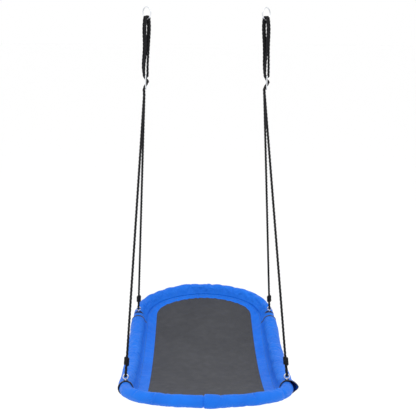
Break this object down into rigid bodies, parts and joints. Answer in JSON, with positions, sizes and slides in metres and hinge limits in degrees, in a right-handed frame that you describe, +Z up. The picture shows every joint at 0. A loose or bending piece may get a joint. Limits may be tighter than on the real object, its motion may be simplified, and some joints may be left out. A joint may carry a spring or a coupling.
{
  "type": "platform tree swing",
  "caption": "Oval padded platform tree swing: jointed steel frame in foam and blue cloth with a grey fabric deck, hung by rope legs and adjusters from two steel rings.",
  "frame": {"origin": "midway between the two points where the top rings rest on their hooks", "axes": "+X to the swing's right along the line of the hooks, +Y along the seat's long axis towards its back, +Z up"},
  "size_m": [0.8138, 1.5204, 1.7888],
  "materials": {
    "rope": "twisted polyethylene rope, satin",
    "zinc_steel": "bright zinc",
    "fastener_steel": "zinc plated",
    "frame_steel": "galvanised tube",
    "foam": "closed-cell foam",
    "blue_cloth": "coated plain-weave polyester",
    "grey_cloth": "coated plain-weave polyester, matt",
    "black_binding": "woven edge tape"
  },
  "bodies": {
    "rings": {"top_ring_left": "zinc_steel", "top_ring_right": "zinc_steel"},
    "hanger": {"rope_top_left": "rope", "rope_top_right": "rope"},
    "adjusters": {"adjuster_left": "zinc_steel", "adjuster_right": "zinc_steel"},
    "seat": {"corner_spigot_back_left": "frame_steel", "corner_spigot_back_right": "frame_steel", "corner_spigot_front_left": "frame_steel", "corner_spigot_front_right": "frame_steel", "deck_base": "blue_cloth", "deck_panel": "grey_cloth", "end_sleeve_back": "blue_cloth", "end_sleeve_front": "blue_cloth", "end_spigot_back": "frame_steel", "end_spigot_front": "frame_steel", "end_tube_back_left": "frame_steel", "end_tube_back_right": "frame_steel", "end_tube_front_left": "frame_steel", "end_tube_front_right": "frame_steel", "eye_bolt_back_left": "zinc_steel", "eye_bolt_back_right": "zinc_steel", "eye_bolt_front_left": "zinc_steel", "eye_bolt_front_right": "zinc_steel", "eye_hole_bindings": "black_binding", "eye_nuts": "fastener_steel", "eye_washers_lower": "fastener_steel", "eye_washers_upper": "fastener_steel", "foam_end_back_left": "foam", "foam_end_back_right": "foam", "foam_end_front_left": "foam", "foam_end_front_right": "foam", "foam_side_left": "foam", "foam_side_right": "foam", "hem_bindings_left": "black_binding", "hem_bindings_right": "black_binding", "joint_screws": "fastener_steel", "knot_back_left": "rope", "knot_back_right": "rope", "knot_front_left": "rope", "knot_front_right": "rope", "rope_leg_back_left": "rope", "rope_leg_back_right": "rope", "rope_leg_front_left": "rope", "rope_leg_front_right": "rope", "side_sleeve_left": "blue_cloth", "side_sleeve_right": "blue_cloth", "side_tube_left": "frame_steel", "side_tube_right": "frame_steel"}
  },
  "joints": [
    {"name": "swing", "type": "hinge", "parent": "rings", "child": "hanger", "pos_m": [0, 0, -0.051], "axis": [1, 0, 0], "range_deg": [-45, 45], "deforming": ["rope_top_left", "rope_top_right"]},
    {"name": "adjuster_slide", "type": "slide", "parent": "hanger", "child": "adjusters", "axis": [0, 0, 1], "range_m": [-0.2, 0.05], "deforming": ["rope_top_left", "rope_top_right"]},
    {"name": "seat_lift", "type": "slide", "parent": "adjusters", "child": "seat", "axis": [0, 0, 1], "range_m": [-0.1, 0.4], "deforming": ["rope_leg_back_left", "rope_leg_back_right", "rope_leg_front_left", "rope_leg_front_right"]}
  ],
  "couplings": [
    {"joint": "adjuster_slide", "follows": "seat_lift", "ratio": -0.5}
  ]
}
